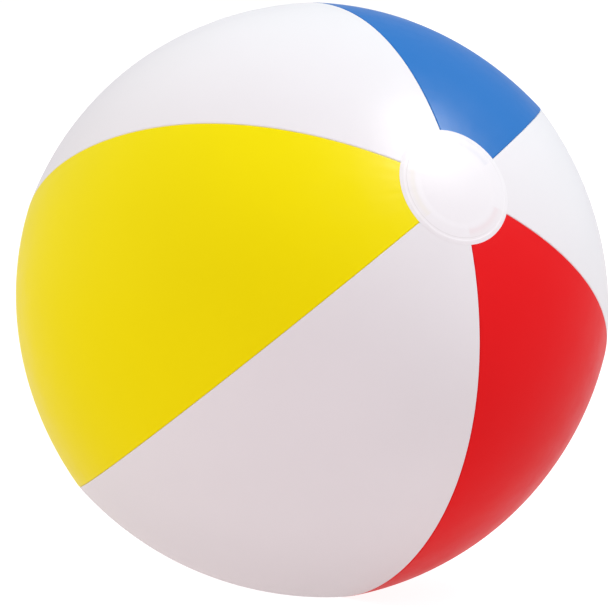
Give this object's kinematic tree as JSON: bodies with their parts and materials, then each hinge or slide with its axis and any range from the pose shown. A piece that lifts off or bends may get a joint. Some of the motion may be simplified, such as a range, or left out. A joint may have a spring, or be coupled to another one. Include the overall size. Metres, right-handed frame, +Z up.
{
  "type": "inflatable beach ball",
  "caption": "Round inflatable vinyl ball with coloured and white panels, welded end discs and a push-in inflation valve with hinged stopper.",
  "frame": {"origin": "centre of the ball, which is the centre of its bounding box", "axes": "+Z up with the ball lying on its side: the plain front pole faces -Y and 25 degrees up, the valve faces +Y and 25 degrees down, and +X is to the right seen from -Y"},
  "size_m": [0.3883, 0.3883, 0.3883],
  "materials": {
    "white_vinyl": "glossy soft vinyl",
    "yellow_vinyl": "glossy soft vinyl",
    "blue_vinyl": "glossy soft vinyl",
    "red_vinyl": "glossy soft vinyl",
    "disc_vinyl": "glossy slightly translucent vinyl",
    "valve_vinyl": "soft translucent moulded vinyl"
  },
  "bodies": {
    "ball": {"blue_panel": "blue_vinyl", "white_panel_top": "white_vinyl", "yellow_panel": "yellow_vinyl", "white_panel_bottom": "white_vinyl", "red_panel": "red_vinyl", "white_panel_right": "white_vinyl", "front_end_disc": "disc_vinyl", "rear_end_disc": "disc_vinyl", "valve_flange": "valve_vinyl", "valve_skirt": "valve_vinyl"},
    "neck": {"valve_neck": "valve_vinyl", "stopper_strap": "valve_vinyl"},
    "stopper": {"stopper": "valve_vinyl"},
    "flap": {"check_flap": "valve_vinyl"}
  },
  "joints": [
    {"name": "neck_slide", "type": "slide", "parent": "ball", "child": "neck", "axis": [0, 0.9063, -0.4226], "range_m": [0, 0.014], "deforming": ["valve_skirt"]},
    {"name": "stopper_hinge", "type": "hinge", "parent": "neck", "child": "stopper", "pos_m": [0, 0.18107, -0.07428], "axis": [1, 0, 0], "range_deg": [0, 160], "deforming": ["stopper_strap"]},
    {"name": "flap_hinge", "type": "hinge", "parent": "neck", "child": "flap", "pos_m": [0, 0.16637, -0.0725], "axis": [-1, 0, 0], "range_deg": [0, 60]}
  ]
}
